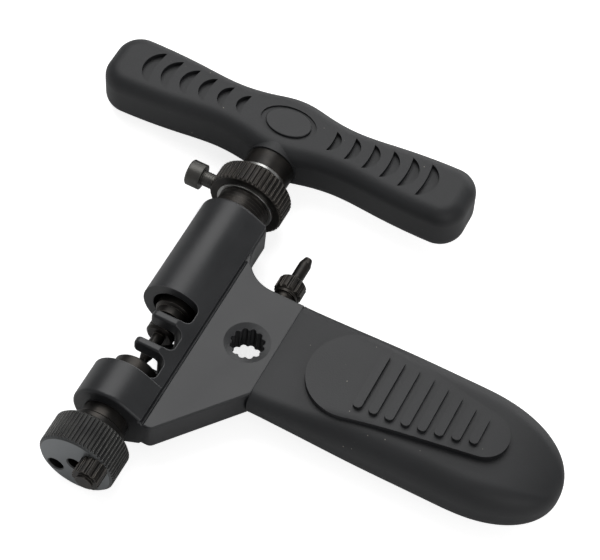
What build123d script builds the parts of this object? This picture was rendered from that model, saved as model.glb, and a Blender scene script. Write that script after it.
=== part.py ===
from build123d import *
import os
from math import cos, pi, radians, sin, sqrt, tan

# Workshop chain tool, in millimetres. The origin is on the spindle's axis, midway between the two
# chain fingers. +X points to the handle, +Y along the spindle to the T-handle, +Z out of the web.

os.makedirs("parts", exist_ok=True)

# --- bicycle chain that the tool takes ---
roller_r = 3.88                 # chain roller that sits between the two teeth of a finger
roller_play = 0.07

# --- frame casting ---
upper_barrel_r = 9.25
lower_barrel_r = 9.6
upper_mouth_y = 12.0            # end of the upper barrel that faces the chain
upper_barrel_len = 31.6
lower_seat_y = -12.6            # end of the lower barrel that faces the chain
lower_barrel_len = 10.9
barrel_rim = 0.9                # rounding of the barrels' outer rims
flank_deg = 31.5                # slope of the flanks that run from the barrel to the web
flank_x = 9.25                  # where the flanks end beside the web
groove_r = 0.4
groove_end_y = 31.5
web_half = 4.35                 # half of the web's thickness
web_rim = 0.5                   # rounding of the web's rims
wall_x = 9.6                    # wall of the web along the upper barrel
shoulder_y = 27.0               # upper edge of the web beside the handle
hollow_r = 9.6                  # concave corner from the wall to the shoulder
web_end_x = 28.4                # where the handle starts
heel_y = -2.9                   # lower corner of the web at the handle
toe_x = 12.2                    # lower corner of the web at the lower barrel
toe_round = 2.0
spine_x = 6.9                   # floor of the windows, behind the fingers
window_round = 2.1

# --- chain fingers, each a plate with two teeth ---
finger_pitch = 8.9
finger_t = 2.2
finger_reach = 2.6              # how far the teeth reach past the axis
tooth_top = 8.3
tooth_round = 0.7
tip_round = 1.4
seat_round = 1.2

# --- lobed socket in the web, with a dished rim ---
socket_x = 21.1
socket_y = 10.1
socket_r = 4.5
socket_lobes = 12
socket_core_r = 3.95
lobe_r = 0.85
lobe_turn_deg = 5.0
dish_r = 6.0
dish_depth = 0.6

# --- threads ---
spindle_r = 5.0                 # M10
running = 0.05                  # radial clearance of a turning thread or shaft
bush_r = 7.0                    # M14 guide bush
anvil_r = 6.0                   # M12
pin_thread_r = 2.5              # M5 shank of a push pin
pin_thread_len = 6.0
lock_screw_r = 2.0              # M4

# --- drive screw ---
nose_r = 4.2
nose_end_y = 8.2
spindle_end_y = 10.3            # where the M10 thread stops and the nose starts
spindle_chamfer = 0.5
barrel_bore_r = 6.4
bush_end_y = 25.0
shaft_r = 4.0                   # plain top end of the spindle, inside the hub
shaft_len = 10.5

# --- push pin: fluted head, M5 shank, hardened pin ---
pin_r = 1.65
pin_len = 8.2
pin_tip_r = 1.05
pin_taper = 2.0
head_r = 3.8
head_len = 4.4
head_flutes = 12
head_flute_r = 0.5
head_flute_depth = 0.42
head_chamfer = 0.6
neck_r = 3.1
neck_len = 0.7
body_groove_up = 1.3            # groove in the fitted pin's body, from its lower end
body_groove_w = 0.4
body_groove_depth = 0.3

# --- stop collar, its washer and the guide bush above the barrel ---
collar_r = 10.5
collar_y = 49.6
collar_len = 6.4
collar_flutes = 48
collar_flute_r = 0.42
collar_flute_depth = 0.4
collar_chamfer = 0.5
bush_recess = 0.8               # how far the bush stays below the collar's top
collar_washer_r = 7.9
collar_washer_t = 0.5

# --- lock screw, M4 socket head cap screw that presses on a nylon pad ---
lock_y = 52.05
screw_head_r = 3.5
screw_head_len = 4.0
screw_shows = 3.1               # thread between the collar and the head
screw_head_chamfer = 0.35
screw_socket_af = 3.0
screw_socket_depth = 2.0
lock_pad_len = 1.2
pad_gap = 0.1                   # between the pad and the guide bush
tip_gap = 0.02                  # between the pad and the screw

# --- hub, thrust washer and T-handle ---
hub_r = 6.65
hub_y = 59.3
hub_collar_len = 5.7            # part of the hub that shows below the grip
hub_core_r = 5.9
hub_core_len = 15.6
washer_t = 0.8
washer_r = 6.55
t_y = 74.2
t_turn_deg = 2.7                # how far past level the bar stands
t_half_len = 52.8
t_half_t = 7.2
t_boss_half_w = 10.3
t_waist_half_w = 7.8
t_waist_x = 16.5
t_bulge_half_w = 9.5
t_bulge_x = 41.5
t_edge_round = 4.2
t_end_round = 7.0
grip_neck_wall = 0.45          # rubber around the hub below the bar
grip_neck_y = 64.4
rod_r = 3.5
rod_half_len = 42.0
hub_pin_r = 1.5
hub_pin_y = 66.2
hub_pin_half_len = 5.6
cap_rx = 6.35
cap_ry = 4.35
cap_ring_rx = 7.85              # shallow ring around the cap
cap_ring_ry = 5.2
cap_ring_depth = 0.45
cap_t = 1.0
cap_proud = 0.2
crescents = 6
crescent_x = 12.6               # where the first crescent's ends are
crescent_pitch = 5.32
crescent_half_first = 3.4
crescent_half_last = 5.6
crescent_bulge_first = 2.6
crescent_bulge_last = 3.9
crescent_inner_share = 0.15     # bulge of a crescent's inner edge, as a share of the outer one
crescent_depth = 1.3

# --- anvil, its ring and its knob ---
anvil_top_y = -7.8
anvil_bore_r = 2.1
anvil_chamfer = 0.5
knob_r = 10.2
knob_top_y = -29.6
knob_len = 9.2
knob_flutes = 60
knob_flute_r = 0.34
knob_flute_depth = 0.35
knob_chamfer = 0.7
stem_r = 4.0
stem_len = 5.6                  # how far the stem sits in the knob
ring_r = 7.0
ring_len = 2.8
ring_chamfer = 0.4
knob_pin_r = 1.0
knob_pin_y = -32.4
knob_pin_in_r = 2.9             # inner end of the pin, from the axis
knob_pin_out_r = 9.5
store_r = 2.0
store_radius = 6.8              # centre of a storage hole, from the axis
store_deg = 38.4
store_depth = 6.0
store_chamfer = 0.3

# --- tip insert stored in the knob ---
insert_head_r = 3.6
insert_head_len = 4.6
insert_nub_r = 2.2
insert_nub_len = 0.8
insert_shank_len = 5.5

# --- spare pin in the web's shoulder ---
spare_x = 22.1
spare_neck = 2.3                # from the web to the collar under the fluted head
spare_hole_depth = 5.0

# --- handle ---
handle_end_x = 106.6
handle_top_y = 28.3             # upper and lower side of the handle
handle_low_y = -4.15
handle_tip_y = 10.6
upper_turn_x = 78.0             # where the upper side starts to round off
lower_turn_x = 82.0
handle_end_power = 2.15         # 2 rounds the end off as an ellipse, more as a fuller curve
handle_thin = 4.2               # half thickness at the web
handle_thick = 7.5              # half thickness at its fullest
handle_full_x = 64.0
handle_taper_x = 85.0           # where the faces start to round off
face_end_power = 2.4
handle_corner = 0.8             # corner radius of a section, as a share of its half thickness
core_skin_side = 3.0            # rubber around the core
core_skin_face = 1.5
core_start_x = 40.0
core_end_x = 97.0
tang_half_t = 2.2
tang_end_x = 84.0
tang_half_w = 8.0
tang_round = 4.0
tang_y = 12.2
dowel_r = 2.0
dowel_half_len = 2.9
dowel_x = 48.0
dowel_pitch = 24.0
dowels = 2

# --- thumb pad ---
pad_height = 1.7
pad_front_x = 49.6
pad_front_r = 12.4
pad_back_x = 84.0
pad_back_r = 6.6
pad_y = 12.6
ribs = 8
rib_x = 53.75
rib_pitch = 4.15
rib_w = 2.3
rib_height = 2.7
rib_half_first = 8.9
rib_half_last = 4.4

# --- places that follow from the sizes above ---
slot_half = roller_r + roller_play
upper_top_y = upper_mouth_y + upper_barrel_len
lower_foot_y = lower_seat_y - lower_barrel_len
finger_y = finger_pitch / 2
flank_rise = tan(radians(flank_deg))
flank_start_x = upper_barrel_r * sin(radians(flank_deg))
flank_start_z = upper_barrel_r * cos(radians(flank_deg))
tooth_bend_x = flank_start_x - (tooth_top - flank_start_z) / flank_rise
finger_root_x = spine_x + 0.5 * (flank_x - spine_x)
finger_root_z = flank_start_z - (finger_root_x - flank_start_x) * flank_rise
plate_x = spine_x - window_round
collar_top_y = collar_y + collar_len
bush_top_y = collar_top_y - bush_recess
hub_step_y = hub_y + hub_collar_len
hub_top_y = hub_step_y + hub_core_len
shaft_top_y = hub_y + shaft_len
head_top_y = nose_end_y - neck_len
knob_end_y = knob_top_y - knob_len
stem_end_y = knob_top_y - stem_len
store_x = store_radius * cos(radians(store_deg))
store_z = store_radius * sin(radians(store_deg))
spare_neck_y = shoulder_y + spare_neck
cap_seat_z = t_half_t + cap_proud - cap_t

t_plane = Plane(origin=(0, t_y, 0), x_dir=(cos(radians(t_turn_deg)), 0, sin(radians(t_turn_deg))),
                z_dir=(-sin(radians(t_turn_deg)), 0, cos(radians(t_turn_deg))))


def across(y):
    """Plane square to the spindle at y, with X to the right and Z up. It extrudes towards -Y."""
    return Plane.XZ.offset(-y)


def barrel_outline(radius):
    """Round barrel whose +X side runs off in two flat flanks beside the web."""
    tangent_x = radius * sin(radians(flank_deg))
    tangent_z = radius * cos(radians(flank_deg))
    root_z = tangent_z - (flank_x - tangent_x) * flank_rise
    Circle(radius)
    Polygon((0, tangent_z), (tangent_x, tangent_z), (flank_x, root_z), (flank_x, -root_z),
            (tangent_x, -tangent_z), (0, -tangent_z), align=None)


def fluted(outer_r, flutes, flute_r, depth):
    """Disc with evenly spaced round-bottomed flutes."""
    Circle(outer_r)
    with PolarLocations(outer_r - depth + flute_r, flutes):
        Circle(flute_r, mode=Mode.SUBTRACT)


def turned(*points, mode=Mode.ADD):
    """Half section, in radius and y, turned about the spindle's axis."""
    with BuildSketch(Plane.XY) as half:
        Polygon(*points, align=None)
    revolve(half.sketch, axis=Axis.Y, mode=mode)


def spindled(low, high, radius, chamfer_len, bore=0):
    """Turned envelope along the spindle's axis with chamfered ends, to intersect with a fluted disc."""
    turned((bore, low), (radius - chamfer_len, low), (radius, low + chamfer_len), (radius, high - chamfer_len),
           (radius - chamfer_len, high), (bore, high), mode=Mode.INTERSECT)


def rounded_off(x, start_x, power):
    """Share of its full size that the handle keeps at x when its end is rounded off from start_x."""
    past = max(x - start_x, 0) / (handle_end_x - start_x)
    return (1 - past ** power) ** (1 / power)


def handle_shape(side, face, start_x, end_x, sections):
    """Handle between two places along X, grown by side across and by face in thickness."""
    end_turn = radians(87)
    outlines = []
    for step in range(sections + 1):
        x = start_x + (end_x - start_x) * sin(step / sections * end_turn) / sin(end_turn)
        top = handle_tip_y + (handle_top_y - handle_tip_y) * rounded_off(x, upper_turn_x, handle_end_power)
        low = handle_tip_y + (handle_low_y - handle_tip_y) * rounded_off(x, lower_turn_x, handle_end_power)
        swell = (1 - cos(pi * min((x - web_end_x) / (handle_full_x - web_end_x), 1))) / 2
        half_t = handle_thin + (handle_thick - handle_thin) * swell
        half_t = half_t * rounded_off(x, handle_taper_x, face_end_power) + face
        half_w = (top - low) / 2 + side
        with BuildSketch(Plane.YZ.offset(x)) as outline:
            with Locations(((top + low) / 2, 0)):
                RectangleRounded(2 * half_w, 2 * half_t, handle_corner * min(half_t, half_w))
        outlines.append(outline.sketch)
    loft(outlines)


# ------------------------------------------------------------------ frame
with BuildPart() as finger:
    with BuildSketch(across(finger_t / 2)) as finger_face:
        Polygon((-finger_reach, tooth_top), (tooth_bend_x, tooth_top), (finger_root_x, finger_root_z),
                (finger_root_x, -finger_root_z), (tooth_bend_x, -tooth_top), (-finger_reach, -tooth_top), align=None)
        with Locations((slot_half, 0)):
            Rectangle(slot_half + 2 * finger_reach, 2 * slot_half, align=(Align.MAX, Align.CENTER), mode=Mode.SUBTRACT)
        fillet(finger_face.vertices().group_by(Axis.X)[0], tip_round)
        fillet(finger_face.vertices().filter_by_position(Axis.X, slot_half - 0.01, slot_half + 0.01), seat_round)
    extrude(amount=finger_t)
    outer_rims = finger.edges().filter_by(lambda e: abs(e.center().Z) > slot_half + tooth_round
                                          and e.center().X < plate_x and abs(e.center().Y) > 0.49 * finger_t)
    fillet(outer_rims, tooth_round)

with BuildPart() as web:
    with BuildSketch(Plane.XY) as web_plan:
        Polygon((0, upper_top_y - barrel_rim), (wall_x, upper_top_y - barrel_rim), (wall_x, shoulder_y),
                (web_end_x, shoulder_y), (web_end_x, heel_y), (toe_x, lower_foot_y), (0, lower_foot_y), align=None)
        fillet(web_plan.vertices().sort_by_distance((wall_x, shoulder_y))[0], hollow_r)
        fillet(web_plan.vertices().sort_by_distance((toe_x, lower_foot_y))[0], toe_round)
    extrude(amount=web_half, both=True)
    web_rims = web.edges().filter_by(lambda e: abs(e.center().Z) > 0.99 * web_half and e.center().X > wall_x
                                     and e.center().X < web_end_x - 0.01)
    fillet(web_rims, web_rim)

with BuildPart() as frame:
    with BuildSketch(across(upper_top_y)):
        barrel_outline(upper_barrel_r)
    extrude(amount=upper_top_y - lower_seat_y)
    with BuildSketch(across(lower_seat_y)):
        barrel_outline(lower_barrel_r)
    extrude(amount=lower_barrel_len)
    fillet(frame.faces().sort_by(Axis.Y)[-1].edges(), barrel_rim)
    fillet(frame.faces().sort_by(Axis.Y)[0].edges(), barrel_rim)
    add(web.part)
    # grooves where the web meets the barrels
    with BuildSketch(across(groove_end_y)):
        with Locations((flank_x + groove_r, web_half), (flank_x + groove_r, -web_half)):
            Circle(groove_r)
    extrude(amount=groove_end_y - lower_foot_y, mode=Mode.SUBTRACT)
    # windows beside the fingers, open to -X and right through
    with BuildSketch(Plane.XY) as windows:
        for low, high in ((lower_seat_y, -finger_y - finger_t / 2), (finger_t / 2 - finger_y, finger_y - finger_t / 2),
                          (finger_y + finger_t / 2, upper_mouth_y)):
            with Locations((spine_x, (low + high) / 2)):
                Rectangle(spine_x + 2 * lower_barrel_r, high - low, align=(Align.MAX, Align.CENTER))
        fillet(windows.vertices().group_by(Axis.X)[-1], window_round)
    extrude(amount=2 * lower_barrel_r, both=True, mode=Mode.SUBTRACT)
    # the round stock between the windows gives way to the fingers' own outline
    with BuildSketch(Plane.XY):
        with Locations((plate_x, 0)):
            Rectangle(plate_x + 2 * lower_barrel_r, finger_pitch + 2 * finger_t, align=(Align.MAX, Align.CENTER))
    extrude(amount=2 * lower_barrel_r, both=True, mode=Mode.SUBTRACT)
    with Locations((0, finger_y, 0), (0, -finger_y, 0)):
        add(finger.part)
    # bores of the barrels
    with BuildSketch(across(upper_top_y)):
        Circle(barrel_bore_r)
    extrude(amount=upper_barrel_len + window_round, mode=Mode.SUBTRACT)
    with BuildSketch(across(upper_top_y)):
        Circle(bush_r)
    extrude(amount=upper_top_y - bush_end_y, mode=Mode.SUBTRACT)
    with BuildSketch(across(lower_seat_y + window_round)):
        Circle(anvil_r + running)
    extrude(amount=lower_barrel_len + window_round, mode=Mode.SUBTRACT)
    # lobed socket
    with BuildSketch(Plane.XY.offset(web_half)):
        with Locations((socket_x, socket_y)):
            Circle(socket_core_r)
            with PolarLocations(socket_r - lobe_r, socket_lobes, start_angle=lobe_turn_deg):
                Circle(lobe_r)
    extrude(amount=-2 * web_half, mode=Mode.SUBTRACT)
    with BuildSketch(Plane.XZ.offset(-socket_y)):
        for side in (1, -1):
            Polygon((socket_x, side * web_half), (socket_x + dish_r, side * web_half),
                    (socket_x + socket_core_r, side * (web_half - dish_depth)),
                    (socket_x, side * (web_half - dish_depth)), align=None)
    revolve(axis=Axis((socket_x, socket_y, 0), (0, 0, 1)), mode=Mode.SUBTRACT)
    # threaded hole for the spare pin
    with BuildSketch(across(shoulder_y)):
        with Locations((spare_x, 0)):
            Circle(pin_thread_r)
    extrude(amount=spare_hole_depth, mode=Mode.SUBTRACT)
    # tang inside the handle
    with BuildSketch(Plane.XY) as tang:
        with Locations((tang_end_x, tang_y)):
            Rectangle(tang_end_x - web_end_x, 2 * tang_half_w, align=(Align.MAX, Align.CENTER))
        fillet(tang.vertices().group_by(Axis.X)[-1], tang_round)
    extrude(amount=tang_half_t, both=True)
    with BuildSketch(Plane.XY):
        for step in range(dowels):
            with Locations((dowel_x + step * dowel_pitch, tang_y)):
                Circle(dowel_r)
    extrude(amount=tang_half_t, both=True, mode=Mode.SUBTRACT)


# ------------------------------------------------------------------ handle
with BuildPart() as grip_body:
    handle_shape(0, 0, web_end_x, handle_end_x - 0.04, 16)

with BuildPart() as handle_core:
    handle_shape(-core_skin_side, -core_skin_face, core_start_x, core_end_x, 10)
    core_body = handle_core.part
    add(frame.part, mode=Mode.SUBTRACT)
    with BuildSketch(Plane.XY):
        for step in range(dowels):
            with Locations((dowel_x + step * dowel_pitch, tang_y)):
                Circle(dowel_r)
    extrude(amount=dowel_half_len, both=True, mode=Mode.SUBTRACT)

with BuildPart() as handle_grip:
    add(grip_body.part)
    add(core_body, mode=Mode.SUBTRACT)
    add(frame.part, mode=Mode.SUBTRACT)

with BuildPart() as tang_dowels:
    with BuildSketch(Plane.XY):
        for step in range(dowels):
            with Locations((dowel_x + step * dowel_pitch, tang_y)):
                Circle(dowel_r)
    extrude(amount=dowel_half_len, both=True)

with BuildPart() as pad_bed:
    handle_shape(0, pad_height, core_start_x - 2 * (core_start_x - web_end_x) / 3, handle_taper_x + pad_back_r, 8)

with BuildPart() as rib_bed:
    handle_shape(0, rib_height, core_start_x, handle_taper_x + pad_back_r, 8)

with BuildPart() as rib_bars:
    for step in range(ribs):
        rib_half = rib_half_first + (rib_half_last - rib_half_first) * (step / (ribs - 1)) ** 2
        with BuildSketch(Plane.XY):
            with Locations((rib_x + step * rib_pitch, pad_y)):
                RectangleRounded(rib_w, 2 * rib_half, 0.45 * rib_w)
    extrude(amount=2 * handle_thick)
    add(rib_bed.part, mode=Mode.INTERSECT)

with BuildPart() as thumb_pad:
    with BuildSketch(Plane.XY) as pad_plan:
        with Locations((pad_front_x, pad_y)):
            Circle(pad_front_r)
        with Locations((pad_back_x, pad_y)):
            Circle(pad_back_r)
        make_hull(pad_plan.edges())
    extrude(amount=2 * handle_thick)
    add(pad_bed.part, mode=Mode.INTERSECT)
    add(rib_bars.part)
    add(grip_body.part, mode=Mode.SUBTRACT)

# ------------------------------------------------------------------ guide bush and drive screw
with BuildPart() as guide_bush:
    with BuildSketch(across(bush_top_y)):
        Circle(bush_r)
        Circle(spindle_r + running, mode=Mode.SUBTRACT)
    extrude(amount=bush_top_y - bush_end_y)

with BuildPart() as spindle:
    turned((0, nose_end_y), (nose_r, nose_end_y), (nose_r, spindle_end_y), (spindle_r - spindle_chamfer, spindle_end_y),
           (spindle_r, spindle_end_y + spindle_chamfer), (spindle_r, hub_y), (shaft_r, hub_y), (shaft_r, shaft_top_y),
           (0, shaft_top_y))
    with BuildSketch(across(nose_end_y + pin_thread_len)):
        Circle(pin_thread_r)
    extrude(amount=pin_thread_len, mode=Mode.SUBTRACT)
    with BuildSketch(t_plane):
        with Locations((0, hub_pin_y - t_y)):
            Circle(hub_pin_r)
    extrude(amount=hub_pin_half_len, both=True, mode=Mode.SUBTRACT)

# A push pin points down (-Y) from its neck at y = 0.
with BuildPart() as pin_shape:
    with BuildSketch(across(-neck_len)):
        fluted(head_r, head_flutes, head_flute_r, head_flute_depth)
    extrude(amount=head_len)
    spindled(-neck_len - head_len, -neck_len, head_r, head_chamfer)
    with BuildSketch(across(pin_thread_len)):
        Circle(pin_thread_r)
    extrude(amount=pin_thread_len)
    with BuildSketch(across(0)):
        Circle(neck_r)
    extrude(amount=neck_len)
    pin_root_y = -neck_len - head_len
    turned((0, pin_root_y), (pin_r, pin_root_y), (pin_r, pin_root_y - pin_len + pin_taper),
           (pin_tip_r, pin_root_y - pin_len), (0, pin_root_y - pin_len))

# The fitted pin has a plain round body with one groove instead of the fluted head.
body_end_y = head_top_y - head_len
groove_y = body_end_y + body_groove_up
pin_end_y = body_end_y - pin_len
with BuildPart() as push_pin:
    turned((0, nose_end_y + pin_thread_len), (pin_thread_r, nose_end_y + pin_thread_len), (pin_thread_r, nose_end_y),
           (neck_r, nose_end_y), (neck_r, head_top_y), (head_r, head_top_y), (head_r, groove_y + body_groove_w),
           (head_r - body_groove_depth, groove_y + body_groove_w), (head_r - body_groove_depth, groove_y),
           (head_r, groove_y), (head_r, body_end_y + head_chamfer), (head_r - head_chamfer, body_end_y),
           (pin_r, body_end_y), (pin_r, pin_end_y + pin_taper), (pin_tip_r, pin_end_y), (0, pin_end_y))

with BuildPart() as spare_pin:
    with Locations(Location((spare_x, spare_neck_y, 0), (180, 0, 0))):
        add(pin_shape.part)

with BuildPart() as thrust_washer:
    with BuildSketch(across(hub_y)):
        Circle(washer_r)
        Circle(spindle_r + running, mode=Mode.SUBTRACT)
    extrude(amount=washer_t)

# ------------------------------------------------------------------ T-handle
with BuildPart() as t_bar_hub:
    turned((0, hub_y), (hub_r, hub_y), (hub_r, hub_step_y), (hub_core_r, hub_step_y), (hub_core_r, hub_top_y),
           (0, hub_top_y))
    with BuildSketch(across(shaft_top_y)):
        Circle(shaft_r)
    extrude(amount=shaft_len, mode=Mode.SUBTRACT)
    with BuildSketch(t_plane):
        with Locations((0, hub_pin_y - t_y)):
            Circle(hub_pin_r)
    extrude(amount=hub_pin_half_len, both=True, mode=Mode.SUBTRACT)
    with BuildSketch(Plane(origin=t_plane.origin, x_dir=(0, 1, 0), z_dir=t_plane.x_dir)):
        Circle(rod_r)
    extrude(amount=rod_half_len, both=True, mode=Mode.SUBTRACT)

with BuildPart() as t_bar_pin:
    with BuildSketch(t_plane):
        with Locations((0, hub_pin_y - t_y)):
            Circle(hub_pin_r)
    extrude(amount=hub_pin_half_len, both=True)

with BuildPart() as t_bar_rod:
    with BuildSketch(Plane(origin=t_plane.origin, x_dir=(0, 1, 0), z_dir=t_plane.x_dir)):
        Circle(rod_r)
    extrude(amount=rod_half_len, both=True)
    chamfer(t_bar_rod.edges().filter_by(GeomType.CIRCLE), 0.2 * rod_r)

t_end_x = t_half_len - t_end_round
with BuildPart() as t_bar_grip:
    with BuildSketch(t_plane):
        with BuildLine():
            edge = Spline((0, t_boss_half_w), (0.5 * t_waist_x, (t_boss_half_w + 1.2 * t_waist_half_w) / 2.2),
                          (t_waist_x, t_waist_half_w), ((t_waist_x + t_bulge_x) / 2, (t_waist_half_w + t_bulge_half_w) / 2),
                          (t_end_x, t_bulge_half_w), tangents=((1, 0), (1, 0)))
            JernArc(edge @ 1, edge % 1, t_end_round, -90)
            Line((t_half_len, t_bulge_half_w - t_end_round), (t_half_len, 0))
            mirror(about=Plane.XZ)
            mirror(about=Plane.YZ)
        make_face()
    extrude(amount=t_half_t, both=True)
    rims = t_bar_grip.edges().filter_by(lambda e: abs(t_plane.to_local_coords(e.center()).Z) > 0.99 * t_half_t)
    fillet(rims, t_edge_round)
    with BuildSketch(across(t_y)):
        Circle(hub_r + grip_neck_wall)
    extrude(amount=t_y - grip_neck_y)
    # a shallow ring and a seat for the cap, and the crescents, on both faces
    for side in (1, -1):
        with BuildSketch(t_plane.offset(side * t_half_t)):
            Ellipse(cap_ring_rx, cap_ring_ry)
        extrude(amount=-side * cap_ring_depth, mode=Mode.SUBTRACT)
        with BuildSketch(t_plane.offset(side * t_half_t)):
            Ellipse(cap_rx, cap_ry)
        extrude(amount=-side * (t_half_t - cap_seat_z), mode=Mode.SUBTRACT)
        with BuildSketch(t_plane.offset(side * t_half_t)):
            for step in range(crescents):
                share = step / (crescents - 1)
                x = crescent_x + step * crescent_pitch
                half = crescent_half_first + (crescent_half_last - crescent_half_first) * share
                bulge = crescent_bulge_first + (crescent_bulge_last - crescent_bulge_first) * share
                for hand in (1, -1):
                    with BuildLine():
                        ThreePointArc((hand * x, half), (hand * (x + bulge), 0), (hand * x, -half))
                        ThreePointArc((hand * x, half), (hand * (x + crescent_inner_share * bulge), 0),
                                      (hand * x, -half))
                    make_face()
        extrude(amount=-side * crescent_depth, mode=Mode.SUBTRACT)
    add(t_bar_rod.part, mode=Mode.SUBTRACT)
    turned((0, hub_y), (hub_r, hub_y), (hub_r, hub_step_y), (hub_core_r, hub_step_y), (hub_core_r, hub_top_y),
           (0, hub_top_y), mode=Mode.SUBTRACT)

with BuildPart() as t_bar_cap_front:
    with BuildSketch(t_plane.offset(cap_seat_z)):
        Ellipse(cap_rx, cap_ry)
    extrude(amount=cap_t)
    fillet(t_bar_cap_front.faces().sort_by(Axis.Z)[-1].edges(), 0.25 * cap_t)

with BuildPart() as t_bar_cap_rear:
    with BuildSketch(t_plane.offset(-cap_seat_z)):
        Ellipse(cap_rx, cap_ry)
    extrude(amount=-cap_t)
    fillet(t_bar_cap_rear.faces().sort_by(Axis.Z)[0].edges(), 0.25 * cap_t)

# ------------------------------------------------------------------ stop collar
pad_end_x = -(bush_r + pad_gap)
screw_tip_x = pad_end_x - lock_pad_len - tip_gap
screw_head_x = -(collar_r + screw_shows)
lock_plane = Plane(origin=(0, lock_y, 0), x_dir=(0, 1, 0), z_dir=(-1, 0, 0))

with BuildPart() as stop_collar:
    with BuildSketch(across(collar_top_y)):
        fluted(collar_r, collar_flutes, collar_flute_r, collar_flute_depth)
    extrude(amount=collar_len)
    spindled(collar_y, collar_top_y, collar_r, collar_chamfer)
    with BuildSketch(across(collar_top_y)):
        Circle(bush_r + running)
    extrude(amount=collar_len, mode=Mode.SUBTRACT)
    with BuildSketch(lock_plane):
        Circle(lock_screw_r + running)
    extrude(amount=2 * collar_r, mode=Mode.SUBTRACT)

with BuildPart() as collar_washer:
    with BuildSketch(across(collar_y)):
        Circle(collar_washer_r)
        Circle(bush_r + running, mode=Mode.SUBTRACT)
    extrude(amount=collar_washer_t)

with BuildPart() as lock_pad:
    with BuildSketch(lock_plane.offset(-pad_end_x)):
        Circle(lock_screw_r - running)
    extrude(amount=lock_pad_len)

with BuildPart() as lock_screw:
    with BuildSketch(lock_plane.offset(-screw_tip_x)):
        Circle(lock_screw_r)
    extrude(amount=screw_tip_x - screw_head_x)
    with BuildSketch(lock_plane.offset(-screw_head_x)):
        Circle(screw_head_r)
    extrude(amount=screw_head_len)
    chamfer(lock_screw.faces().sort_by(Axis.X)[0].edges(), screw_head_chamfer)
    with BuildSketch(lock_plane.offset(-screw_head_x + screw_head_len)):
        RegularPolygon(screw_socket_af / 2, 6, major_radius=False)
    extrude(amount=-screw_socket_depth, mode=Mode.SUBTRACT)

# ------------------------------------------------------------------ anvil
with BuildPart() as anvil:
    turned((anvil_bore_r, anvil_top_y), (anvil_r - anvil_chamfer, anvil_top_y), (anvil_r, anvil_top_y - anvil_chamfer),
           (anvil_r, knob_top_y), (stem_r, knob_top_y), (stem_r, stem_end_y), (anvil_bore_r, stem_end_y))

pin_turn = radians(store_deg - 90)
knob_pin_plane = Plane(origin=(0, knob_pin_y, 0), x_dir=(0, 1, 0), z_dir=(cos(pin_turn), 0, sin(pin_turn)))

with BuildPart() as knob_pin:
    with BuildSketch(knob_pin_plane.offset(knob_pin_in_r)):
        Circle(knob_pin_r)
    extrude(amount=knob_pin_out_r - knob_pin_in_r)

with BuildPart() as anvil_knob:
    with BuildSketch(across(knob_top_y)):
        fluted(knob_r, knob_flutes, knob_flute_r, knob_flute_depth)
    extrude(amount=knob_len)
    spindled(knob_end_y, knob_top_y, knob_r, knob_chamfer)
    with BuildSketch(across(knob_top_y)):
        Circle(stem_r)
    extrude(amount=stem_len, mode=Mode.SUBTRACT)
    with BuildSketch(across(knob_top_y)):
        Circle(anvil_bore_r)
    extrude(amount=knob_len, mode=Mode.SUBTRACT)
    with BuildSketch(across(knob_end_y + store_depth)):
        with Locations((store_x, store_z), (-store_x, -store_z)):
            Circle(store_r)
    extrude(amount=store_depth, mode=Mode.SUBTRACT)
    with BuildSketch(knob_pin_plane):
        Circle(knob_pin_r)
    extrude(amount=2 * knob_r, mode=Mode.SUBTRACT)
    mouths = anvil_knob.faces().sort_by(Axis.Y)[0].edges().filter_by(GeomType.CIRCLE)
    chamfer(mouths.filter_by(lambda e: e.radius < store_r + store_chamfer), store_chamfer)

with BuildPart() as anvil_holed:
    add(anvil.part)
    with BuildSketch(knob_pin_plane.offset(knob_pin_in_r)):
        Circle(knob_pin_r)
    extrude(amount=stem_r, mode=Mode.SUBTRACT)

with BuildPart() as anvil_ring:
    ring_low_y = knob_top_y + running
    turned((anvil_r + running, ring_low_y), (ring_r, ring_low_y), (ring_r, ring_low_y + ring_len - ring_chamfer),
           (ring_r - ring_chamfer, ring_low_y + ring_len), (anvil_r + running, ring_low_y + ring_len))

with BuildPart() as tip_insert:
    with BuildSketch(across(knob_end_y)):
        with Locations((store_x, store_z)):
            fluted(insert_head_r, head_flutes, head_flute_r, head_flute_depth)
    extrude(amount=insert_head_len)
    with BuildSketch(across(knob_end_y + insert_shank_len)):
        with Locations((store_x, store_z)):
            Circle(store_r)
    extrude(amount=insert_shank_len)
    with BuildSketch(across(knob_end_y - insert_head_len)):
        with Locations((store_x, store_z)):
            Circle(insert_nub_r)
    extrude(amount=insert_nub_len)


# ------------------------------------------------------------------ files
frame.part.label = "frame"
export_step(frame.part, "parts/frame.step")
handle_core.part.label = "handle_core"
export_step(handle_core.part, "parts/handle_core.step")
tang_dowels.part.label = "tang_dowels"
export_step(tang_dowels.part, "parts/tang_dowels.step")
handle_grip.part.label = "handle_grip"
export_step(handle_grip.part, "parts/handle_grip.step")
thumb_pad.part.label = "thumb_pad"
export_step(thumb_pad.part, "parts/thumb_pad.step")
guide_bush.part.label = "guide_bush"
export_step(guide_bush.part, "parts/guide_bush.step")
spindle.part.label = "spindle"
export_step(spindle.part, "parts/spindle.step")
push_pin.part.label = "push_pin"
export_step(push_pin.part, "parts/push_pin.step")
spare_pin.part.label = "spare_pin"
export_step(spare_pin.part, "parts/spare_pin.step")
thrust_washer.part.label = "thrust_washer"
export_step(thrust_washer.part, "parts/thrust_washer.step")
t_bar_hub.part.label = "t_bar_hub"
export_step(t_bar_hub.part, "parts/t_bar_hub.step")
t_bar_pin.part.label = "t_bar_pin"
export_step(t_bar_pin.part, "parts/t_bar_pin.step")
t_bar_rod.part.label = "t_bar_rod"
export_step(t_bar_rod.part, "parts/t_bar_rod.step")
t_bar_grip.part.label = "t_bar_grip"
export_step(t_bar_grip.part, "parts/t_bar_grip.step")
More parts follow.
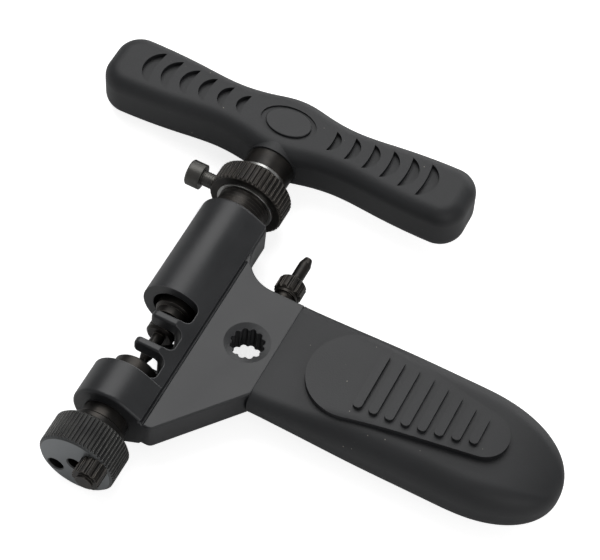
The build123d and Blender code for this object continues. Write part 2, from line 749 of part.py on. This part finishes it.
t_bar_cap_front.part.label = "t_bar_cap_front"
export_step(t_bar_cap_front.part, "parts/t_bar_cap_front.step")
t_bar_cap_rear.part.label = "t_bar_cap_rear"
export_step(t_bar_cap_rear.part, "parts/t_bar_cap_rear.step")
stop_collar.part.label = "stop_collar"
export_step(stop_collar.part, "parts/stop_collar.step")
collar_washer.part.label = "collar_washer"
export_step(collar_washer.part, "parts/collar_washer.step")
lock_pad.part.label = "lock_pad"
export_step(lock_pad.part, "parts/lock_pad.step")
lock_screw.part.label = "lock_screw"
export_step(lock_screw.part, "parts/lock_screw.step")
anvil_holed.part.label = "anvil"
export_step(anvil_holed.part, "parts/anvil.step")
anvil_ring.part.label = "anvil_ring"
export_step(anvil_ring.part, "parts/anvil_ring.step")
knob_pin.part.label = "knob_pin"
export_step(knob_pin.part, "parts/knob_pin.step")
anvil_knob.part.label = "anvil_knob"
export_step(anvil_knob.part, "parts/anvil_knob.step")
tip_insert.part.label = "tip_insert"
export_step(tip_insert.part, "parts/tip_insert.step")
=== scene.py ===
import math
import bpy
import numpy as np
from mathutils import Matrix, Vector


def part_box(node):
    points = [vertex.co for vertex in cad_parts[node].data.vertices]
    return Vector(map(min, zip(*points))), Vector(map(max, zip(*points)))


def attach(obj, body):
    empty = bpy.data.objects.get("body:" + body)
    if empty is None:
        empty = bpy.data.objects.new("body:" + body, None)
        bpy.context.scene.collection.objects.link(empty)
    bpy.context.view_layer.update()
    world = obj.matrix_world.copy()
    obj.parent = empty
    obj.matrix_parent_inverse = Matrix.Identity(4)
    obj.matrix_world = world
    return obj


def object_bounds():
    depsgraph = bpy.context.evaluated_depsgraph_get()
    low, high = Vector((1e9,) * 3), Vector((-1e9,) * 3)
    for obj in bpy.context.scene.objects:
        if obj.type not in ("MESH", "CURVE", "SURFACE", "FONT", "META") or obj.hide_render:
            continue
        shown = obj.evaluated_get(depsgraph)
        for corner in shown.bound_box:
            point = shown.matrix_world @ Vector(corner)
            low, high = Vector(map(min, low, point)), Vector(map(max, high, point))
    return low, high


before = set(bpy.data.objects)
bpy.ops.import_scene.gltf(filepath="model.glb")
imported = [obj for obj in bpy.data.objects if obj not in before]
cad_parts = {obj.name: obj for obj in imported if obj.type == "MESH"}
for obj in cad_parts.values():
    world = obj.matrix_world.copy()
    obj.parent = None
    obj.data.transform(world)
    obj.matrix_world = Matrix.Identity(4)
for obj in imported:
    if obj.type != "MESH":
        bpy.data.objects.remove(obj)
cad_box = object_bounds()


# ---------------------------------------------------------------- frame casting
# One piece of cast steel: two barrels, two chain fingers and a flat web, with the tang hidden in
# the handle. It is machined in the bores, then coated in satin black, with a painted highlight on sharp rims.

def linear(code):
    """sRGB hex code to linear RGBA: below 0.04045 a straight line, above it the 2.4 power."""
    part = np.array([int(code[i:i + 2], 16) for i in (1, 3, 5)]) / 255
    part = np.where(part <= 0.04045, part / 12.92, ((part + 0.055) / 1.055) ** 2.4)
    return (*part.tolist(), 1.0)


def add_node(tree, kind, links=(), **settings):
    """Adds one node, sets its attributes or input values, and links (input, source socket) pairs."""
    made = tree.nodes.new(kind)
    for key, value in settings.items():
        if key.startswith("in_"):
            made.inputs[key[3:].replace("_", " ")].default_value = value
        else:
            setattr(made, key, value)
    for socket, source in links:
        tree.links.new(source, made.inputs[socket])
    return made


def ramp_between(tree, source, low, high, at_low, at_high):
    """Colour that goes from one hex colour to another as the source value goes from low to high."""
    ramp = add_node(tree, "ShaderNodeValToRGB", [("Fac", source)])
    ramp.color_ramp.elements[0].position = low
    ramp.color_ramp.elements[0].color = linear(at_low)
    ramp.color_ramp.elements[1].position = high
    ramp.color_ramp.elements[1].color = linear(at_high)
    return ramp.outputs["Color"]


def blend_colour(tree, share, under, over):
    """Colour socket that goes from the under socket to the hex colour over as share goes to 1."""
    mix = add_node(tree, "ShaderNodeMix", [(0, share), (6, under)], data_type="RGBA")
    mix.inputs[7].default_value = linear(over)
    return mix.outputs[2]


# Painted highlight: a share for mixing a paler colour onto sharp rims, where the rounded normal leans.
def painted_rim_highlight(tree, rim):
    """Share of painted rim highlight: 0 where the rounded normal is the face's own, 1 where it leans over a
    sharp rim.
    """
    face = add_node(tree, "ShaderNodeNewGeometry")
    lean = add_node(tree, "ShaderNodeVectorMath", [(0, rim.outputs[0]), (1, face.outputs["Normal"])],
                    operation="DOT_PRODUCT")
    share = add_node(tree, "ShaderNodeMapRange", [("Value", lean.outputs["Value"])],
                     in_From_Min=0.985, in_From_Max=0.85, in_To_Min=0.0, in_To_Max=0.6)
    return share.outputs[0]


def start_material(name):
    """A new node material with an empty tree, and that tree."""
    made = bpy.data.materials.new(name)
    made.use_nodes = True
    made.node_tree.nodes.clear()
    return made, made.node_tree


def close_material(tree, shader):
    """Joins the last shader to the material's surface."""
    out = add_node(tree, "ShaderNodeOutputMaterial")
    tree.links.new(shader.outputs[0], out.inputs["Surface"])


# Satin powder coat on cast steel: black and slightly orange-peeled, so its highlights are soft. Sharp
# rims get a painted highlight, a paler grey in the colour. The peel is 0.7 mm from crest to crest.
coat_dark = "#202123"
coat_light = "#28292b"
# Paler grey of the painted highlight on sharp rims.
coat_rim_highlight = "#77787a"
coat_peel_m = 0.0007
coat_rim_m = 0.00035

satin_coat, tree = start_material("satin_powder_coat")
place = add_node(tree, "ShaderNodeTexCoord").outputs["Object"]
cloud = add_node(tree, "ShaderNodeTexNoise", [("Vector", place)], in_Scale=1 / 0.012, in_Detail=3.0)
peel = add_node(tree, "ShaderNodeTexNoise", [("Vector", place)], in_Scale=1 / coat_peel_m, in_Detail=2.0)
rim = add_node(tree, "ShaderNodeBevel", samples=6, in_Radius=coat_rim_m)
bump = add_node(tree, "ShaderNodeBump", [("Height", peel.outputs["Fac"]), ("Normal", rim.outputs[0])],
                in_Strength=0.12, in_Distance=0.00012)
rough = add_node(tree, "ShaderNodeMapRange", [("Value", cloud.outputs["Fac"])],
                 in_From_Min=0.3, in_From_Max=0.7, in_To_Min=0.34, in_To_Max=0.42)
# The base colour takes a painted highlight, a paler grey, on sharp rims.
shader = add_node(tree, "ShaderNodeBsdfPrincipled",
                  [("Base Color", blend_colour(tree, painted_rim_highlight(tree, rim),
                                                ramp_between(tree, cloud.outputs["Fac"], 0.35, 0.65,
                                                             coat_dark, coat_light), coat_rim_highlight)),
                   ("Roughness", rough.outputs[0]), ("Normal", bump.outputs[0])], in_IOR=1.5)
close_material(tree, shader)


def dress(node, material):
    """Puts one material on every slot of a CAD node."""
    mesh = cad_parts[node].data
    mesh.materials.clear()
    mesh.materials.append(material)


dress("frame", satin_coat)


# ---------------------------------------------------------------- handle grip and thumb pad
# Soft black rubber moulded over the tang's hard core, and a second moulding for the thumb on its
# upper face. The T-handle's grip and its two oval caps come from the same kind of mould.

speck_spacing_m = 0.0022
speck_colour = "#8f8a80"
speck_free_share = 0.86


def rubber(name, dark, light, grain_m, roughness):
    """Matte rubber: colour clouds, a fine bump grain, and a pale speck of dust in a few cells."""
    made, tree = start_material(name)
    place = add_node(tree, "ShaderNodeTexCoord").outputs["Object"]
    cloud = add_node(tree, "ShaderNodeTexNoise", [("Vector", place)], in_Scale=1 / 0.02, in_Detail=4.0)
    grain = add_node(tree, "ShaderNodeTexNoise", [("Vector", place)], in_Scale=1 / grain_m, in_Detail=2.0)
    speck = add_node(tree, "ShaderNodeTexVoronoi", [("Vector", place)], in_Scale=1 / speck_spacing_m)
    spot = add_node(tree, "ShaderNodeMapRange", [("Value", speck.outputs["Distance"])],
                    in_From_Min=0.03, in_From_Max=0.09, in_To_Min=1.0, in_To_Max=0.0)
    chosen = add_node(tree, "ShaderNodeSeparateColor", [("Color", speck.outputs["Color"])])
    few = add_node(tree, "ShaderNodeMath", [(0, chosen.outputs[0])], operation="GREATER_THAN")
    few.inputs[1].default_value = speck_free_share
    dust = add_node(tree, "ShaderNodeMath", [(0, spot.outputs[0]), (1, few.outputs[0])], operation="MULTIPLY")
    base = ramp_between(tree, cloud.outputs["Fac"], 0.35, 0.65, dark, light)
    colour = blend_colour(tree, dust.outputs[0], base, speck_colour)
    bump = add_node(tree, "ShaderNodeBump", [("Height", grain.outputs["Fac"])],
                    in_Strength=0.35, in_Distance=0.00008)
    shader = add_node(tree, "ShaderNodeBsdfPrincipled",
                      [("Base Color", colour), ("Normal", bump.outputs[0])], in_IOR=1.5)
    shader.inputs["Roughness"].default_value = roughness
    close_material(tree, shader)
    return made


# Moulded thermoplastic rubber: nearly black and matte, with a grain of about half a millimetre.
grip_rubber = rubber("moulded_grip_rubber", "#1d1e20", "#242527", 0.0005, 0.55)
pad_rubber = rubber("moulded_pad_rubber", "#1c1d1f", "#232426", 0.0005, 0.5)
dress("handle_grip", grip_rubber)
dress("thumb_pad", pad_rubber)
dress("t_bar_grip", grip_rubber)
dress("t_bar_cap_front", pad_rubber)
dress("t_bar_cap_rear", pad_rubber)


# ---------------------------------------------------------------- turned steel pieces
# Screws, bushes, collar and knob are turned from steel bar on one axis, knurled or fluted, and
# blackened in hot oxide. The cutter leaves fine rings, and the crests get a painted highlight.

def oxide_steel(name, dark, light, rim_highlight_colour, roughness, metallic=0.8, end_face=None):
    """Turned steel: colour clouds, rings that depend on radius and height, and a painted highlight on the
    crests.
    """
    made, tree = start_material(name)
    coords = add_node(tree, "ShaderNodeTexCoord")
    place = coords.outputs["Object"]
    cloud = add_node(tree, "ShaderNodeTexNoise", [("Vector", place)], in_Scale=1 / 0.004, in_Detail=4.0)
    rim = add_node(tree, "ShaderNodeBevel", samples=6, in_Radius=0.0002)
    xyz = add_node(tree, "ShaderNodeSeparateXYZ", [("Vector", place)])
    flat = add_node(tree, "ShaderNodeCombineXYZ", [("X", xyz.outputs[0]), ("Z", xyz.outputs[2])])
    radius = add_node(tree, "ShaderNodeVectorMath", [(0, flat.outputs[0])], operation="LENGTH")
    ring_place = add_node(tree, "ShaderNodeCombineXYZ", [("X", radius.outputs["Value"]), ("Y", xyz.outputs[1])])
    ring = add_node(tree, "ShaderNodeTexNoise", [("Vector", ring_place.outputs[0])],
                    in_Scale=1 / 0.0003, in_Detail=2.0)
    bump = add_node(tree, "ShaderNodeBump", [("Height", ring.outputs["Fac"]), ("Normal", rim.outputs[0])],
                    in_Strength=0.25, in_Distance=0.00005)
    colour = ramp_between(tree, cloud.outputs["Fac"], 0.35, 0.65, dark, light)
    if end_face:
        facing = add_node(tree, "ShaderNodeSeparateXYZ", [("Vector", coords.outputs["Normal"])])
        bare = add_node(tree, "ShaderNodeMapRange", [("Value", facing.outputs[1])],
                        in_From_Min=-0.6, in_From_Max=-0.95, in_To_Min=0.0, in_To_Max=1.0)
        colour = blend_colour(tree, bare.outputs[0], colour, end_face)
    # Painted highlight: a paler colour on sharp rims and crests.
    colour = blend_colour(tree, painted_rim_highlight(tree, rim), colour, rim_highlight_colour)
    shader = add_node(tree, "ShaderNodeBsdfPrincipled",
                      [("Base Color", colour), ("Normal", bump.outputs[0])], in_Metallic=metallic)
    shader.inputs["Roughness"].default_value = roughness
    close_material(tree, shader)
    return made


# Hot black oxide is thin and keeps the steel's sheen, with a slightly brown painted highlight on the
# rims. The lock screw's is greyer, and the knob's end face is cut after blackening, so it is bare grey steel.
black_oxide = oxide_steel("black_oxide_steel", "#2a2928", "#383532", "#8a857e", 0.36)
grey_oxide = oxide_steel("grey_oxide_steel", "#4a4a48", "#5a5956", "#96948f", 0.4)
knob_oxide = oxide_steel("fluted_knob_steel", "#2c2c2c", "#3a3a39", "#8f8f8c", 0.42, end_face="#85888a")
bright_steel = oxide_steel("turned_steel", "#a8a8a6", "#b8b8b6", "#d0d0ce", 0.3, 1.0)
nylon = rubber("moulded_nylon", "#3a3a3c", "#444446", 0.0008, 0.5)
for piece in ("guide_bush", "spindle", "push_pin", "spare_pin", "t_bar_hub", "stop_collar", "anvil",
              "anvil_ring", "tip_insert"):
    dress(piece, black_oxide)
dress("lock_screw", grey_oxide)
dress("anvil_knob", knob_oxide)
for piece in ("thrust_washer", "collar_washer", "t_bar_pin", "t_bar_rod", "knob_pin", "tang_dowels"):
    dress(piece, bright_steel)
for piece in ("handle_core", "lock_pad"):
    dress(piece, nylon)


# ---------------------------------------------------------------- cut threads that show
# The guide bush and the M4 lock screw are cut with V threads. Their crests stand just proud of the
# plain shafts, between barrel and collar and between collar and screw head.

groove_depth = 0.0003
bush_crest_proud = 0.00006
bush_pitch = 0.001
screw_crest_r = 0.00208
screw_pitch = 0.0007
screw_head_len = 0.004


def thread(name, start, end, crest, pitch, screw_y, body, material):
    """Closed tube whose radius is the crest less the depth times a triangle wave of place and angle.

    It lies on the Y axis, or along X at the height screw_y where that is given.
    """
    around = 48
    rows_per_turn = 14
    steps = int((end - start) / pitch * rows_per_turn)
    angle = np.linspace(0, 2 * np.pi, around, endpoint=False)
    length = np.linspace(start, end, steps)
    angle, length = np.meshgrid(angle, length)
    phase = length / pitch - angle / (2 * np.pi)
    radius = crest - groove_depth * np.abs(2 * (phase % 1) - 1)
    points = np.stack([radius * np.cos(angle), length, radius * np.sin(angle)], -1).reshape(-1, 3)
    if screw_y is not None:
        points = np.stack([points[:, 1], points[:, 2] + screw_y, points[:, 0]], -1)
    row = np.arange(steps - 1)[:, None] * around
    column = np.arange(around)[None, :]
    after = (column + 1) % around
    quads = np.stack([row + column, row + around + column, row + around + after, row + after], -1)
    faces = quads.reshape(-1, 4).tolist()
    faces += [list(range(around)), list(range(steps * around - 1, (steps - 1) * around - 1, -1))]
    mesh = bpy.data.meshes.new(name)
    mesh.from_pydata(points.tolist(), [], faces)
    mesh.materials.append(material)
    piece = bpy.data.objects.new(name, mesh)
    bpy.context.scene.collection.objects.link(piece)
    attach(piece, body)


bush_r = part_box("guide_bush")[1][0]
thread("guide_bush_thread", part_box("frame")[1][1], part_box("collar_washer")[0][1], bush_r + bush_crest_proud,
       bush_pitch, None, "frame_body", black_oxide)
screw_low, screw_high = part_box("lock_screw")
thread("lock_screw_thread", screw_low[0] + screw_head_len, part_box("stop_collar")[0][0], screw_crest_r,
       screw_pitch, (screw_low[1] + screw_high[1]) / 2, "lock_screw_body", grey_oxide)


# ---------------------------------------------------------------- floor, light and camera
# A plain pale floor under the tool as it lies on its side, three soft boxes round it, and a long
# lens above its front. The floor glows for the camera alone, so it is pale but lights nothing.
floor_z = cad_box[0][2] - 0.0001
floor_mesh = bpy.data.meshes.new("floor")
reach = 1.5
corners = [(-reach, -reach), (reach, -reach), (reach, reach), (-reach, reach)]
floor_mesh.from_pydata([(x, y, floor_z) for x, y in corners], [], [(0, 1, 2, 3)])
floor = bpy.data.objects.new("floor", floor_mesh)
bpy.context.scene.collection.objects.link(floor)

pale_floor, tree = start_material("pale_floor")
path = add_node(tree, "ShaderNodeLightPath")
matt = add_node(tree, "ShaderNodeBsdfDiffuse", in_Color=(0.8, 0.8, 0.8, 1.0))
seen = add_node(tree, "ShaderNodeEmission", in_Color=(1, 1, 1, 1), in_Strength=0.78)
both = add_node(tree, "ShaderNodeAddShader", [(0, matt.outputs[0]), (1, seen.outputs[0])])
mixed = add_node(tree, "ShaderNodeMixShader",
                 [(0, path.outputs["Is Camera Ray"]), (1, matt.outputs[0]), (2, both.outputs[0])])
close_material(tree, mixed)
floor_mesh.materials.append(pale_floor)

world = bpy.data.worlds.new("studio")
bpy.context.scene.world = world
world.use_nodes = True
tree = world.node_tree
tree.nodes.clear()
path = add_node(tree, "ShaderNodeLightPath")
soft = add_node(tree, "ShaderNodeBackground", in_Color=(1, 1, 1, 1), in_Strength=0.26)
white = add_node(tree, "ShaderNodeBackground", in_Color=(1, 1, 1, 1), in_Strength=1.0)
mixed = add_node(tree, "ShaderNodeMixShader",
                 [(0, path.outputs["Is Camera Ray"]), (1, soft.outputs[0]), (2, white.outputs[0])])
out = add_node(tree, "ShaderNodeOutputWorld")
tree.links.new(mixed.outputs[0], out.inputs["Surface"])


def softbox(name, place, aim, width, height, watts):
    """A rectangular area light at a place, turned to face the aim."""
    lamp = bpy.data.lights.new(name, "AREA")
    lamp.shape = "RECTANGLE"
    lamp.size, lamp.size_y, lamp.energy = width, height, watts
    holder = bpy.data.objects.new(name, lamp)
    bpy.context.scene.collection.objects.link(holder)
    holder.location = place
    holder.rotation_euler = (Vector(aim) - Vector(place)).to_track_quat("-Z", "Y").to_euler()


middle = (0.025, 0.03, 0.0)
softbox("key_light", (-0.25, 0.35, 0.75), middle, 0.7, 0.7, 3.8)
softbox("fill_light", (0.6, -0.45, 0.5), middle, 0.6, 0.6, 1.5)
softbox("back_light", (0.1, 0.85, 0.25), middle, 0.8, 0.4, 2.4)

turn, tilt, roll = (math.radians(v) for v in (20.2, 56.0, 8.03))
look = np.array([-math.sin(turn) * math.cos(tilt), math.cos(turn) * math.cos(tilt), -math.sin(tilt)])
right = np.array([math.cos(turn), math.sin(turn), 0.0])
up = np.cross(right, look)
right, up = right * math.cos(roll) + up * math.sin(roll), up * math.cos(roll) - right * math.sin(roll)
aim_point = np.array([0.02301, 0.03597, 0.0])
view_distance = 0.6184
spot = aim_point - view_distance * look
lens = bpy.data.cameras.new("camera")
lens.sensor_width = 36.0
lens.lens = 145.56
lens.clip_start = 0.01
camera = bpy.data.objects.new("camera", lens)
bpy.context.scene.collection.objects.link(camera)
axes = np.stack([right, up, -look], 1).tolist()
camera.matrix_world = Matrix([[*row, place] for row, place in zip(axes, spot.tolist())]
                             + [[0.0, 0.0, 0.0, 1.0]])
bpy.context.scene.camera = camera
bpy.context.scene.view_settings.view_transform = "Standard"
